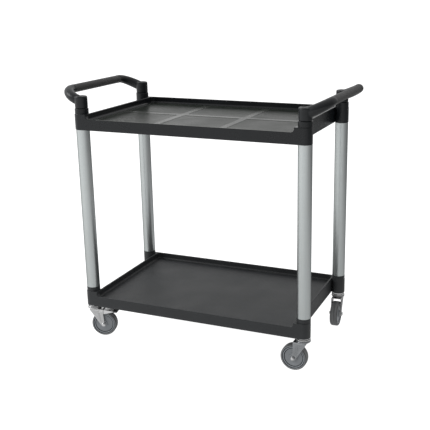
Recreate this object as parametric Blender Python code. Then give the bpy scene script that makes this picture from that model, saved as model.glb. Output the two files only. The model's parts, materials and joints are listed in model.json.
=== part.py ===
"""Two-tier food service trolley: moulded shelves on four aluminium tubes, two push handles, four casters.

Metres, +Z up. The origin is on the floor, under the middle of the trolley. X runs along the long side
and -Y is the front, where both shelves have their low loading edge.
"""

import math

import bmesh
import bpy
from mathutils import Matrix, Vector

GAP = 0.0003

# Tubes
TUBE_X = 0.438
TUBE_Y = 0.2275
TUBE_R = 0.025
TUBE_INNER_R = 0.0234
CORNERS = {"fl": (-1, -1), "fr": (1, -1), "br": (1, 1), "bl": (-1, 1)}

# Shelves, with heights counted from the bottom edge of the skirt
UPPER_BASE_Z = 0.8360
LOWER_BASE_Z = 0.1325
SHELF_HALF_X = 0.414
SHELF_HALF_Y = 0.256
RIM_Z = 0.059
LIP_Z = 0.042
LIP_INNER_Y = 0.2505
FLOOR_Z = 0.0345
FLOOR_UNDER_Z = 0.0305
UPPER_COLLAR_Z = 0.079
LOWER_COLLAR_Z = 0.0745
EAR_R = 0.0256
SPIGOT_R = 0.0230
SPIGOT_LENGTH = 0.035
SOCKET_R = 0.0200
BASIN_HALF_X = 0.4065
BASIN_BACK_Y = 0.2485
BASIN_FILLET = 0.008
BASIN_CORNER_R = 0.018
LIP_END_R = 0.012
HOLLOW_HALF_X = 0.4095
HOLLOW_HALF_Y = 0.2515
RIB_DEPTH = 0.008
RIB_HALF_WIDTH = 0.0015
PANEL_PITCH_X = 0.261
PANEL_BAND = 0.028
PANEL_DEPTH = 0.0008
PANEL_CENTRE = (-0.002, -0.001)

# Handles
POST_R = 0.0238
POST_TOP_Z = 0.9605
PEG_LENGTH = 0.050
BAR_X = 0.515
BAR_Z = 0.976
BAR_R = 0.0165
BAR_CORE_R = 0.0130
BAR_BEND_R = 0.058
ARM_Z = 0.941
ARM_HALF_HEIGHT = 0.0195
ARM_SWELL = 0.0035
POST_FOOT_ROUND = 0.0025
GRIP_HALF_Y = 0.165

# Casters, with heights counted from the floor
WHEEL_R = 0.050
WHEEL_HALF_WIDTH = 0.0154
TRAIL_PLAIN = 0.0340
TRAIL_BRAKED = 0.0380
RIM_SEAT_R = 0.0415
AXLE_R = 0.0040
BUSH_R = 0.0080
FORK_GAP_HALF = 0.0187
FORK_THICKNESS = 0.0022
CROWN_UNDER_Z = 0.1120
CROWN_TOP_Z = 0.1213
CROWN_R = 0.0270
RACE_R = 0.0262
RACE_NECK_R = 0.0225
STEM_R = 0.0060
PLUG_R = 0.0115
PLUG_TOP = 0.045
CASTER_YAW = {"fl": 15.0, "fr": 180.0, "br": -87.0, "bl": -8.0}

# Brake pedals, on the casters of the left end
BRAKED = ("fl", "bl")
PEDAL_PIVOT = (0.0240, 0.1040)
PEDAL_BARREL_R = 0.0040
PEDAL_PIN_R = 0.0022
PEDAL_HALF_WIDTH = 0.0179

SMOOTH_ANGLE = math.radians(35)


def clear_scene():
    for obj in list(bpy.data.objects):
        bpy.data.objects.remove(obj, do_unlink=True)


def make_material(name, colour, roughness, metallic=0.0):
    material = bpy.data.materials.new(name)
    material.use_nodes = True
    shader = material.node_tree.nodes["Principled BSDF"]
    shader.inputs["Base Color"].default_value = (*colour, 1.0)
    shader.inputs["Roughness"].default_value = roughness
    shader.inputs["Metallic"].default_value = metallic
    return material


def place(name, mesh, material=None, location=(0, 0, 0), yaw=0.0, parent=None):
    obj = bpy.data.objects.new(name, mesh)
    bpy.context.scene.collection.objects.link(obj)
    obj.location = location
    obj.rotation_euler = (0, 0, yaw)
    obj.parent = parent
    if material and not mesh.materials:
        mesh.materials.append(material)
    return obj


def finish_mesh(bm, name):
    bmesh.ops.recalc_face_normals(bm, faces=bm.faces)
    mesh = bpy.data.meshes.new(name)
    bm.to_mesh(mesh)
    bm.free()
    smooth(mesh)
    return mesh


def smooth(mesh):
    mesh.shade_smooth()
    mesh.set_sharp_from_angle(angle=SMOOTH_ANGLE)


def bridge(bm, ring_a, ring_b):
    """Faces between two rings of the same length; a pole is a ring that repeats one vertex."""
    count = len(ring_a)
    for i in range(count):
        j = (i + 1) % count
        corners = list(dict.fromkeys((ring_a[i], ring_a[j], ring_b[j], ring_b[i])))
        if len(corners) > 2:
            bm.faces.new(corners)


def lathe(name, profile, segments, closed=False, axis="Z"):
    """Solid of revolution of (radius, height) points; closed joins the last point to the first."""
    bm = bmesh.new()
    rings = []
    for radius, height in profile:
        if radius == 0:
            rings.append([bm.verts.new((0, 0, height))] * segments)
            continue
        turns = (2 * math.pi * i / segments for i in range(segments))
        rings.append([bm.verts.new((radius * math.cos(t), radius * math.sin(t), height)) for t in turns])
    for ring_a, ring_b in zip(rings, rings[1:]):
        bridge(bm, ring_a, ring_b)
    if closed:
        bridge(bm, rings[-1], rings[0])
    if axis == "Y":
        bmesh.ops.rotate(bm, verts=bm.verts, matrix=Matrix.Rotation(math.radians(90), 3, "X"))
    return finish_mesh(bm, name)


def loft(bm, rings):
    """Closed body through rings of points, with flat ends."""
    made = [[bm.verts.new(point) for point in ring] for ring in rings]
    for ring_a, ring_b in zip(made, made[1:]):
        bridge(bm, ring_a, ring_b)
    bm.faces.new(made[0])
    bm.faces.new(made[-1])


def prism(name, outline, low, high, axis="Z"):
    """Outline of (u, v) points pushed from low to high along Z, or along Y with v as the height."""
    bm = bmesh.new()
    if axis == "Z":
        rings = [[(u, v, level) for u, v in outline] for level in (low, high)]
    else:
        rings = [[(u, level, v) for u, v in outline] for level in (low, high)]
    loft(bm, rings)
    return finish_mesh(bm, name)


def arc(centre, radius, start, end, steps):
    """Points of an arc from start to end, in degrees."""
    points = []
    for i in range(steps + 1):
        t = math.radians(start + (end - start) * i / steps)
        points.append((centre[0] + radius * math.cos(t), centre[1] + radius * math.sin(t)))
    return points


def rounded_box(low, high, radius, steps):
    """Outline of an upright rectangle with rounded corners."""
    points = []
    points += arc((high[0] - radius, low[1] + radius), radius, -90, 0, steps)
    points += arc((high[0] - radius, high[1] - radius), radius, 0, 90, steps)
    points += arc((low[0] + radius, high[1] - radius), radius, 90, 180, steps)
    points += arc((low[0] + radius, low[1] + radius), radius, 180, 270, steps)
    return points


def cut(target, operation, *meshes):
    """Applies one exact Boolean per mesh to the target and keeps the result as its mesh."""
    tools = []
    for mesh in meshes:
        tool = place("tool", mesh)
        tool.hide_render = True
        tool.display_type = "WIRE"
        tools.append(tool)
        modifier = target.modifiers.new("boolean", "BOOLEAN")
        modifier.operation = operation
        modifier.solver = "EXACT"
        modifier.object = tool
    keep_result(target)
    for tool in tools:
        bpy.data.objects.remove(tool, do_unlink=True)


def keep_result(obj):
    bpy.context.view_layer.update()
    graph = bpy.context.evaluated_depsgraph_get()
    mesh = bpy.data.meshes.new_from_object(obj.evaluated_get(graph))
    obj.modifiers.clear()
    obj.data = mesh


def bevel(obj, width, segments, angle):
    modifier = obj.modifiers.new("bevel", "BEVEL")
    modifier.width = width
    modifier.segments = segments
    modifier.limit_method = "ANGLE"
    modifier.angle_limit = math.radians(angle)
    keep_result(obj)


def take_mesh(obj):
    """Tidied mesh of a helper object, which is removed."""
    mesh = obj.data
    bpy.data.objects.remove(obj, do_unlink=True)
    smooth(mesh)
    return mesh


# Shelves


def ear_outline(side_x, side_y):
    """Rounded corner that wraps one tube, in counter-clockwise order."""
    reach = math.degrees(math.acos((SHELF_HALF_X - TUBE_X) / EAR_R))
    points = arc((TUBE_X, TUBE_Y), EAR_R, -reach, 0, 7)
    points += arc((TUBE_X, SHELF_HALF_Y - EAR_R), EAR_R, 0, 90, 5)
    points = [(side_x * x, side_y * y) for x, y in points]
    return points if side_x * side_y > 0 else points[::-1]


def shelf_block():
    outline = ear_outline(1, 1) + ear_outline(-1, 1) + ear_outline(-1, -1) + ear_outline(1, -1)
    block = place("block", prism("block", outline, 0.0, RIM_Z))
    bevel(block, 0.0012, 1, 60)
    return block


def basin():
    """Space above the floor, inside the rims and behind the lip, rounded where it meets the floor."""
    levels = []
    for i in range(4):
        t = math.radians(90 * i / 3)
        levels.append((BASIN_FILLET * (1 - math.sin(t)), FLOOR_Z + BASIN_FILLET * (1 - math.cos(t))))
    levels.append((-0.001, RIM_Z + 0.01))
    rings = []
    for inset, z in levels:
        x = BASIN_HALF_X - inset
        radius = BASIN_CORNER_R - inset
        outline = rounded_box((-x, inset - LIP_INNER_Y), (x, BASIN_BACK_Y - inset), radius, 4)
        rings.append([(px, py, z) for px, py in outline])
    bm = bmesh.new()
    loft(bm, rings)
    return finish_mesh(bm, "basin")


def notch():
    """Wide gap in the front rim that leaves the low lip, with rounded ends."""
    x = BASIN_HALF_X
    outline = [(x, RIM_Z + 0.01)]
    outline += arc((x - LIP_END_R, LIP_Z + LIP_END_R), LIP_END_R, 0, -90, 4)
    outline += arc((LIP_END_R - x, LIP_Z + LIP_END_R), LIP_END_R, -90, -180, 4)
    outline.append((-x, RIM_Z + 0.01))
    return prism("notch", outline, -SHELF_HALF_Y - 0.01, BASIN_CORNER_R - LIP_INNER_Y, "Y")


def hollow():
    outline = rounded_box((-HOLLOW_HALF_X, -HOLLOW_HALF_Y), (HOLLOW_HALF_X, HOLLOW_HALF_Y), 0.006, 2)
    return prism("hollow", outline, -0.01, FLOOR_UNDER_Z - RIB_DEPTH)


def grid(name, centre, half, band, low, high, radius, steps):
    """Six boxes in three columns and two rows, parted by bands of the given width."""
    columns = (-half[0], centre[0] - PANEL_PITCH_X / 2, centre[0] + PANEL_PITCH_X / 2, half[0])
    rows = (-half[1], centre[1], half[1])
    edge = band / 2
    bm = bmesh.new()
    for x0, x1 in zip(columns, columns[1:]):
        for y0, y1 in zip(rows, rows[1:]):
            inside = rounded_box((x0 + edge, y0 + edge), (x1 - edge, y1 - edge), radius, steps)
            loft(bm, [[(x, y, z) for x, y in inside] for z in (low, high)])
    return finish_mesh(bm, name)


def tube_columns(name, radius, low, high, segments):
    """Four upright cylinders on the tube axes, as one cutting tool."""
    bm = bmesh.new()
    for side_x, side_y in CORNERS.values():
        circle = arc((side_x * TUBE_X, side_y * TUBE_Y), radius, 0, 360, segments)[:-1]
        loft(bm, [[(x, y, z) for x, y in circle] for z in (low, high)])
    return finish_mesh(bm, name)


def shelf(name, base_z, collar_z, material, upper):
    """One shelf. The upper one has panels, tube spigots below and handle sockets above."""
    block = shelf_block()
    cut(block, "DIFFERENCE", basin(), notch(), hollow())
    half = (HOLLOW_HALF_X, HOLLOW_HALF_Y)
    under = grid("under", (0, 0), half, 2 * RIB_HALF_WIDTH, 0.01, FLOOR_UNDER_Z, 0.003, 1)
    cut(block, "DIFFERENCE", under)
    if upper:
        half = (BASIN_HALF_X - BASIN_FILLET, BASIN_BACK_Y - BASIN_FILLET)
        top = grid("top", PANEL_CENTRE, half, PANEL_BAND, FLOOR_Z - PANEL_DEPTH, FLOOR_Z + 0.002, 0.008, 2)
        cut(block, "DIFFERENCE", top)
    cut(block, "UNION", tube_columns("collars", EAR_R - 0.0001, RIM_Z - 0.01, collar_z, 24))
    if upper:
        cut(block, "UNION", tube_columns("spigots", SPIGOT_R, -SPIGOT_LENGTH, 0.01, 16))
        cut(block, "DIFFERENCE", tube_columns("sockets", SOCKET_R, 0.012, collar_z + 0.01, 20))
    else:
        cut(block, "UNION", tube_columns("spigots", SPIGOT_R, 0.02, collar_z + SPIGOT_LENGTH, 16))
        cut(block, "DIFFERENCE", tube_columns("stem_bores", PLUG_R + GAP, -0.01, PLUG_TOP, 16))
    place(name, take_mesh(block), material, (0, 0, base_z))


def add_shelves(plastic):
    shelf("upper_shelf", UPPER_BASE_Z, UPPER_COLLAR_Z, plastic["upper_shelf"], True)
    shelf("lower_shelf", LOWER_BASE_Z, LOWER_COLLAR_Z, plastic["lower_shelf"], False)


def add_tubes(material):
    low = LOWER_BASE_Z + LOWER_COLLAR_Z + GAP
    high = UPPER_BASE_Z - GAP
    profile = [(TUBE_INNER_R, low), (TUBE_R, low), (TUBE_R, high), (TUBE_INNER_R, high)]
    mesh = lathe("tube", profile, 24, closed=True)
    for corner, (side_x, side_y) in CORNERS.items():
        place(f"tube_{corner}", mesh, material, (side_x * TUBE_X, side_y * TUBE_Y, 0))


# Handles


def handle_path():
    """Centre line of the right-hand arm, from the front post to the bar, each point with its share."""
    arm = BAR_X - BAR_BEND_R - TUBE_X
    length = arm + BAR_BEND_R * math.pi / 2
    plan = [(TUBE_X + arm * i / 3, -TUBE_Y, arm * i / 3) for i in range(4)]
    for i in range(1, 6):
        t = math.radians(90 * i / 5)
        x = TUBE_X + arm + BAR_BEND_R * math.sin(t)
        y = -TUBE_Y + BAR_BEND_R * (1 - math.cos(t))
        plan.append((x, y, arm + BAR_BEND_R * t))
    return [(x, y, ARM_Z + (BAR_Z - ARM_Z) * rise(run / length), run / length) for x, y, run in plan]


def rise(share):
    """Share of the climb from post to bar, level at the bar."""
    return math.sin(math.pi / 2 * share**1.3)


def sweep(bm, path, sizes, segments):
    """Oval body along a path, with flat ends; sizes holds its half width and half height."""
    points = [Vector(point) for point in path]
    rings = []
    for i, point in enumerate(points):
        ahead = points[min(i + 1, len(points) - 1)] - points[max(i - 1, 0)]
        ahead.normalize()
        side = ahead.cross(Vector((0, 0, 1))).normalized()
        up = side.cross(ahead)
        ring = []
        for k in range(segments):
            t = 2 * math.pi * k / segments
            ring.append(point + side * sizes[i][0] * math.cos(t) + up * sizes[i][1] * math.sin(t))
        rings.append(ring)
    loft(bm, rings)


def handle_bar():
    """Bar and arms, with the bar turned down where the grip sits."""
    seat = GRIP_HALF_Y + GAP
    path = []
    sizes = []
    for x, y, z, share in handle_path():
        path.append((x, y, z))
        climb = (z - ARM_Z) / (BAR_Z - ARM_Z)
        half_width = BAR_R + ARM_SWELL * math.sin(math.pi * share)
        sizes.append((half_width, ARM_HALF_HEIGHT + (BAR_R - ARM_HALF_HEIGHT) * climb**2))
    path += [(BAR_X, -seat, BAR_Z), (BAR_X, -seat + 0.0001, BAR_Z)]
    sizes += [(BAR_R, BAR_R), (BAR_CORE_R, BAR_CORE_R)]
    path += [(x, -y, z) for x, y, z in path[::-1]]
    sizes += sizes[::-1]
    bm = bmesh.new()
    sweep(bm, path, sizes, 14)
    return finish_mesh(bm, "bar")


def handle_post(name):
    """Post with a rounded, slightly dished top, and the peg that fits in the shelf's socket."""
    shoulder = UPPER_BASE_Z + UPPER_COLLAR_Z + GAP
    top = POST_TOP_Z
    peg = SOCKET_R - 2 * GAP
    profile = [(0, shoulder - PEG_LENGTH), (peg - 0.002, shoulder - PEG_LENGTH)]
    profile += [(peg, shoulder - PEG_LENGTH + 0.003), (peg, shoulder)]
    profile += [(POST_R - POST_FOOT_ROUND, shoulder), (POST_R, shoulder + POST_FOOT_ROUND)]
    profile += [(r, z) for r, z in arc((POST_R - 0.005, top - 0.005), 0.005, 0, 90, 2)]
    profile += [(0.0150, top), (0.0138, top - 0.0014), (0, top - 0.0014)]
    return lathe(name, profile, 20)


def moved(mesh, offset):
    mesh.transform(Matrix.Translation(offset))
    return mesh


def handle_mesh():
    bar = place("bar", handle_bar())
    front = moved(handle_post("front"), (TUBE_X, -TUBE_Y, 0))
    back = moved(handle_post("back"), (TUBE_X, TUBE_Y, 0))
    cut(bar, "UNION", front, back)
    return take_mesh(bar)


def grip_mesh():
    inner = BAR_CORE_R + GAP
    edge = GRIP_HALF_Y
    profile = [(inner, -edge), (BAR_R - 0.0006, -edge), (BAR_R, -edge + 0.0008)]
    profile += [(BAR_R, edge - 0.0008), (BAR_R - 0.0006, edge), (inner, edge)]
    mesh = lathe("grip", profile, 14, closed=True, axis="Y")
    return moved(mesh, (BAR_X, 0, BAR_Z))


def add_handles(plastic, grip_material):
    handle = handle_mesh()
    grip = grip_mesh()
    for side, yaw in (("right", 0.0), ("left", math.pi)):
        place(f"handle_{side}", handle, plastic, (0, 0, 0), yaw)
        place(f"grip_{side}", grip, grip_material, (0, 0, 0), yaw)


# Casters: each mesh is drawn with the swivel axis at X = Y = 0 and the wheel behind it, along +X


def plug_mesh():
    """Threaded insert pressed into the bore under a shelf corner."""
    low = LOWER_BASE_Z + GAP
    high = LOWER_BASE_Z + PLUG_TOP - 0.004
    inner = STEM_R + GAP
    profile = [(inner, low), (PLUG_R, low), (PLUG_R, high), (inner, high)]
    return lathe("plug", profile, 16, closed=True)


def stem_mesh():
    """Stem that is also the kingpin, with its riveted head under the crown."""
    head = CROWN_UNDER_Z - GAP
    top = LOWER_BASE_Z + PLUG_TOP - 0.002
    profile = [(0, head - 0.0042), (0.0070, head - 0.0034), (0.0092, head), (STEM_R, head)]
    profile += [(STEM_R, top - 0.0015), (STEM_R - 0.0015, top), (0, top)]
    return lathe("stem", profile, 12)


def race_mesh():
    """Fixed upper race of the swivel head, clamped under the shelf corner."""
    top = LOWER_BASE_Z - GAP
    low = CROWN_TOP_Z + GAP
    inner = STEM_R + GAP
    profile = [(inner, low), (0.0240, low), (RACE_R, low + 0.0016), (RACE_R, low + 0.0046)]
    profile += [(RACE_NECK_R, low + 0.0062), (RACE_NECK_R, top), (inner, top)]
    return lathe("race", profile, 20, closed=True)


def crown_mesh():
    """Round top of the fork, with the lower race rolled into its edge."""
    inner = STEM_R + GAP
    low = CROWN_UNDER_Z
    top = CROWN_TOP_Z
    profile = [(inner, low), (0.0245, low + 0.0020), (CROWN_R, low + 0.0040), (CROWN_R, low + 0.0078)]
    profile += [(0.0240, top), (inner, top)]
    return lathe("crown", profile, 20, closed=True)


def channel_outline():
    """Upside-down U across the wheel, as (y, z) points."""
    outer = FORK_GAP_HALF + FORK_THICKNESS
    top = CROWN_UNDER_Z + 0.0030
    right = [(FORK_GAP_HALF, 0.03), (outer, 0.03)]
    right += arc((outer - 0.004, top - 0.004), 0.004, 0, 90, 2)
    right += [(0.0, top)]
    roof = [(0.0, CROWN_UNDER_Z)] + arc((FORK_GAP_HALF - 0.0018, CROWN_UNDER_Z - 0.0018), 0.0018, 90, 0, 2)
    left = [(-y, z) for y, z in right[-2::-1]]
    left_roof = [(-y, z) for y, z in roof[:0:-1]]
    return right + left + left_roof + roof


def fork_channel():
    bm = bmesh.new()
    outline = channel_outline()
    loft(bm, [[(x, y, z) for y, z in outline] for x in (-0.030, 0.060)])
    return finish_mesh(bm, "channel")


def leg_profile(trail):
    """Side view of the fork: upright behind the axle, slanted in front of it."""
    top = CROWN_UNDER_Z + 0.01
    points = [(-0.0165, top), (-0.0165, CROWN_UNDER_Z - 0.0005)]
    points += arc((trail - 0.0010, WHEEL_R), 0.0095, 207, 335, 5)
    points += [(trail + 0.0030, 0.062), (trail + 0.0005, 0.085), (trail, top)]
    return points


def fork_mesh(trail, braked):
    """Pressed fork: crown, roof and two legs, with the holes for kingpin, axle and pedal pin."""
    fork = place("fork", fork_channel())
    cut(fork, "INTERSECT", prism("legs", leg_profile(trail), -0.05, 0.05, "Y"))
    cut(fork, "UNION", crown_mesh())
    holes = [lathe("kingpin_hole", [(0, 0.09), (STEM_R + GAP, 0.09), (STEM_R + GAP, 0.14), (0, 0.14)], 12)]
    holes.append(cross_hole("axle_hole", AXLE_R + GAP, (trail, 0, WHEEL_R)))
    if braked:
        holes.append(cross_hole("pin_hole", PEDAL_PIN_R + GAP, (PEDAL_PIVOT[0], 0, PEDAL_PIVOT[1])))
    cut(fork, "DIFFERENCE", *holes)
    return take_mesh(fork)


def cross_hole(name, radius, centre):
    mesh = lathe(name, [(0, -0.04), (radius, -0.04), (radius, 0.04), (0, 0.04)], 12, axis="Y")
    return moved(mesh, centre)


def axle_mesh():
    """Axle bolt with a domed head on the near side."""
    side = FORK_GAP_HALF + FORK_THICKNESS + GAP
    profile = [(0, side + 0.0068), (0.0048, side + 0.0063), (0.0070, side + 0.0042), (0.0070, side)]
    profile += [(AXLE_R, side), (AXLE_R, -side - 0.0070), (0, -side - 0.0070)]
    return lathe("axle", profile, 12, axis="Y")


def nut_mesh():
    """Hexagon nut on the far end of the axle."""
    side = FORK_GAP_HALF + FORK_THICKNESS + GAP
    bm = bmesh.new()
    corners = arc((0, 0), 0.0075, 0, 360, 6)[:-1]
    loft(bm, [[(x, side + height, z) for x, z in corners] for height in (0.0, 0.0062)])
    nut = place("nut", finish_mesh(bm, "nut"))
    cut(nut, "DIFFERENCE", cross_hole("thread", AXLE_R + GAP, (0, 0, 0)))
    return take_mesh(nut)


def bush_mesh():
    """Spacer sleeve on the axle, clamped between the fork legs."""
    side = FORK_GAP_HALF - GAP
    inner = AXLE_R + GAP
    return lathe("bush", [(inner, -side), (BUSH_R, -side), (BUSH_R, side), (inner, side)], 12, True, "Y")


def mirrored(half):
    """Full section from its upper half, as (radius, height) points in one closed loop."""
    return half + [(radius, -height) for radius, height in half[::-1]]


def wheel_mesh():
    """Wheel centre: hub, flat web and rim, with a groove between web and rim."""
    bore = BUSH_R + GAP
    half = [(bore, 0.0165), (0.0130, 0.0165), (0.0140, 0.0110), (0.0335, 0.0110), (0.0355, 0.0070)]
    half += [(0.0378, 0.0125), (RIM_SEAT_R, 0.0125)]
    return lathe("wheel", mirrored(half), 24, closed=True, axis="Y")


def tyre_mesh():
    """Tyre with a slightly crowned tread and round shoulders."""
    half = [(RIM_SEAT_R + GAP, 0.0130), (0.0445, WHEEL_HALF_WIDTH), (0.0480, 0.0146), (0.0496, 0.0118)]
    half += [(WHEEL_R, 0.0060)]
    return lathe("tyre", mirrored(half), 24, closed=True, axis="Y")


def pedal_mesh():
    """Brake lever: a channel over the back of the wheel, on a barrel between the fork legs."""
    x0, z0 = PEDAL_PIVOT
    top = [(x0 + 0.001, z0 + 0.0034), (x0 + 0.0100, z0 + 0.0068), (x0 + 0.0540, z0 + 0.0012)]
    under = [(x0 + 0.0540, z0 - 0.0024), (x0 + 0.0165, z0 - 0.0118), (x0 + 0.006, z0 - 0.0040)]
    width = PEDAL_HALF_WIDTH
    pedal = place("pedal", prism("lever", under + top, -width, width, "Y"))
    inner = [(x0 - 0.02, z0 - 0.02), (x0 + 0.06, z0 - 0.02), (x0 + 0.06, z0 - 0.0016)]
    inner += [(x0 + 0.0108, z0 + 0.0046), (x0 - 0.02, z0 + 0.0010)]
    cut(pedal, "DIFFERENCE", prism("inner", inner, 0.0020 - width, width - 0.0020, "Y"))
    tongue = [(x0 + 0.050, z0 - 0.0004), (x0 + 0.064, z0 - 0.0006), (x0 + 0.064, z0 + 0.0014)]
    tongue += [(x0 + 0.050, z0 + 0.0016)]
    reach = width + 0.0003
    barrel = [(0, -reach), (PEDAL_BARREL_R, -reach), (PEDAL_BARREL_R, reach), (0, reach)]
    cut(pedal, "UNION", moved(lathe("barrel", barrel, 16, axis="Y"), (x0, 0, z0)))
    cut(pedal, "UNION", prism("tongue", tongue, 0.003 - width, width - 0.003, "Y"))
    cut(pedal, "DIFFERENCE", cross_hole("pin_bore", PEDAL_PIN_R + GAP, (x0, 0, z0)))
    return moved(take_mesh(pedal), (-x0, 0, -z0))


def pad_mesh():
    """Black foot pad that caps the end of the lever, with a slot for the tongue."""
    x0 = 0.0545
    outline = [(x0, -0.0036), (0.068, -0.0038), (0.0715, -0.0020), (0.0715, 0.0036), (0.0690, 0.0058)]
    outline += [(x0 + 0.002, 0.0060), (x0, 0.0044)]
    width = PEDAL_HALF_WIDTH
    pad = place("pad", prism("pad", outline, -width, width, "Y"))
    slot = [(x0 - 0.01, -0.0004 - GAP), (0.064 + GAP, -0.0006 - GAP), (0.064 + GAP, 0.0014 + GAP)]
    slot += [(x0 - 0.01, 0.0016 + GAP)]
    cut(pad, "DIFFERENCE", prism("slot", slot, 0.003 - width - GAP, width - 0.003 + GAP, "Y"))
    return take_mesh(pad)


def pin_mesh():
    """Pedal pin with a flat head at each end, outside the fork legs."""
    side = FORK_GAP_HALF + FORK_THICKNESS + GAP
    half = [(PEDAL_PIN_R, 0), (PEDAL_PIN_R, side), (0.0038, side), (0.0034, side + 0.0014)]
    half += [(0, side + 0.0014)]
    profile = [(radius, -height) for radius, height in half[:0:-1]] + half[1:]
    return lathe("pin", profile, 12, axis="Y")


def add_caster(corner, meshes, materials):
    side_x, side_y = CORNERS[corner]
    pivot = bpy.data.objects.new(f"caster_{corner}", None)
    bpy.context.scene.collection.objects.link(pivot)
    pivot.location = (side_x * TUBE_X, side_y * TUBE_Y, 0)
    pivot.rotation_euler = (0, 0, math.radians(CASTER_YAW[corner]))
    trail = TRAIL_BRAKED if corner in BRAKED else TRAIL_PLAIN
    wheel_centre = (trail, 0, WHEEL_R)
    pedal_pivot = (PEDAL_PIVOT[0], 0, PEDAL_PIVOT[1])
    fork = "fork_braked" if corner in BRAKED else "fork"
    parts = [("plug", (0, 0, 0)), ("stem", (0, 0, 0)), ("race", (0, 0, 0)), (fork, (0, 0, 0))]
    parts += [("axle", wheel_centre), ("nut", wheel_centre), ("bush", wheel_centre)]
    parts += [("wheel", wheel_centre), ("tyre", wheel_centre)]
    if corner in BRAKED:
        parts += [("pedal_pin", pedal_pivot), ("pedal", pedal_pivot), ("pedal_pad", pedal_pivot)]
    for key, location in parts:
        name = key.replace("_braked", "")
        place(f"{name}_{corner}", meshes[key], materials[name], location, 0.0, pivot)


def add_casters(materials):
    meshes = {
        "plug": plug_mesh(),
        "stem": stem_mesh(),
        "race": race_mesh(),
        "fork": fork_mesh(TRAIL_PLAIN, False),
        "fork_braked": fork_mesh(TRAIL_BRAKED, True),
        "axle": axle_mesh(),
        "nut": nut_mesh(),
        "bush": bush_mesh(),
        "wheel": wheel_mesh(),
        "tyre": tyre_mesh(),
        "pedal_pin": pin_mesh(),
        "pedal": pedal_mesh(),
        "pedal_pad": pad_mesh(),
    }
    for corner in CORNERS:
        add_caster(corner, meshes, materials)


def main():
    clear_scene()
    shelf_plastic = {
        "upper_shelf": make_material("upper_shelf_plastic", (0.030, 0.031, 0.033), 0.32),
        "lower_shelf": make_material("lower_shelf_plastic", (0.034, 0.036, 0.038), 0.45),
    }
    zinc = (0.60, 0.61, 0.60)
    caster_materials = {
        "plug": make_material("plug_nylon", (0.05, 0.05, 0.05), 0.6),
        "stem": make_material("stem_steel", zinc, 0.35, 1.0),
        "race": make_material("race_zinc", zinc, 0.25, 1.0),
        "fork": make_material("fork_zinc", zinc, 0.35, 1.0),
        "axle": make_material("axle_steel", zinc, 0.30, 1.0),
        "nut": make_material("nut_steel", zinc, 0.30, 1.0),
        "bush": make_material("bush_steel", zinc, 0.40, 1.0),
        "wheel": make_material("wheel_plastic", (0.21, 0.23, 0.25), 0.5),
        "tyre": make_material("tyre_rubber", (0.15, 0.16, 0.16), 0.6),
        "pedal_pin": make_material("pedal_pin_steel", zinc, 0.35, 1.0),
        "pedal": make_material("pedal_zinc", zinc, 0.35, 1.0),
        "pedal_pad": make_material("pedal_pad_rubber", (0.02, 0.02, 0.02), 0.6),
    }
    add_shelves(shelf_plastic)
    add_tubes(make_material("tube_aluminium", (0.62, 0.63, 0.62), 0.38, 1.0))
    add_handles(
        make_material("handle_plastic", (0.028, 0.029, 0.029), 0.35),
        make_material("grip_rubber", (0.045, 0.047, 0.045), 0.6),
    )
    add_casters(caster_materials)


main()
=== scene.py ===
"""Food service trolley: detailed pieces, materials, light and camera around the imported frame.

Metres, +Z up. X runs along the long side and -Y is the front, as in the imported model.
"""

import json
import math

import bmesh
import bpy
from mathutils import Matrix, Vector


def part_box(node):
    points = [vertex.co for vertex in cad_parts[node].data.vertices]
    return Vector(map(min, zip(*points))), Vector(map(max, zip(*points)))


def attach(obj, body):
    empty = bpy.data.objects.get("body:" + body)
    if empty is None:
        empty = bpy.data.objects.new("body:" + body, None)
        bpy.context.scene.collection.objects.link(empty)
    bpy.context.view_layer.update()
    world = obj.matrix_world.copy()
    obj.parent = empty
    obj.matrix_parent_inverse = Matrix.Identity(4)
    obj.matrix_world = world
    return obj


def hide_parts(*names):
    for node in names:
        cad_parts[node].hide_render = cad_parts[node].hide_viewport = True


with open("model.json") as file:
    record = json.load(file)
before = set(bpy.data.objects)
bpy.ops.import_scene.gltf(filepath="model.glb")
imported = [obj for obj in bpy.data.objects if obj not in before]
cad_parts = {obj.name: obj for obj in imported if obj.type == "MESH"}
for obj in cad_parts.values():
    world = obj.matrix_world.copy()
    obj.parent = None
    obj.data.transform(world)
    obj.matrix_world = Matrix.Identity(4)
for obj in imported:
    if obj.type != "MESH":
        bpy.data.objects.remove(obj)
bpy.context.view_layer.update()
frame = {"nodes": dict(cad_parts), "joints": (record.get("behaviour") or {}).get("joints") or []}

GAP = 0.0003
# How far a Boolean tool reaches past the face that it cuts or joins
OVERLAP = 0.01
CORNERS = {"fl": (-1, -1), "fr": (1, -1), "br": (1, 1), "bl": (-1, 1)}
BRAKED = ("fl", "bl")

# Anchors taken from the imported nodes
TUBE_LOW, TUBE_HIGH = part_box("tube_fr")
TUBE_X = (TUBE_LOW.x + TUBE_HIGH.x) / 2
TUBE_Y = -(TUBE_LOW.y + TUBE_HIGH.y) / 2
TUBE_R = (TUBE_HIGH.x - TUBE_LOW.x) / 2
TUBE_WALL = 0.0016
TUBE_OUTER_EDGE = 0.0006
TUBE_INNER_EDGE = 0.0004
UPPER_BASE_Z = TUBE_HIGH.z + GAP
LOWER_COLLAR_TOP = TUBE_LOW.z - GAP
GRIP_LOW, GRIP_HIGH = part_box("grip_right")
BAR_X = (GRIP_LOW.x + GRIP_HIGH.x) / 2
BAR_Z = (GRIP_LOW.z + GRIP_HIGH.z) / 2
BAR_R = (GRIP_HIGH.z - GRIP_LOW.z) / 2
GRIP_HALF_Y = GRIP_HIGH.y

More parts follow.
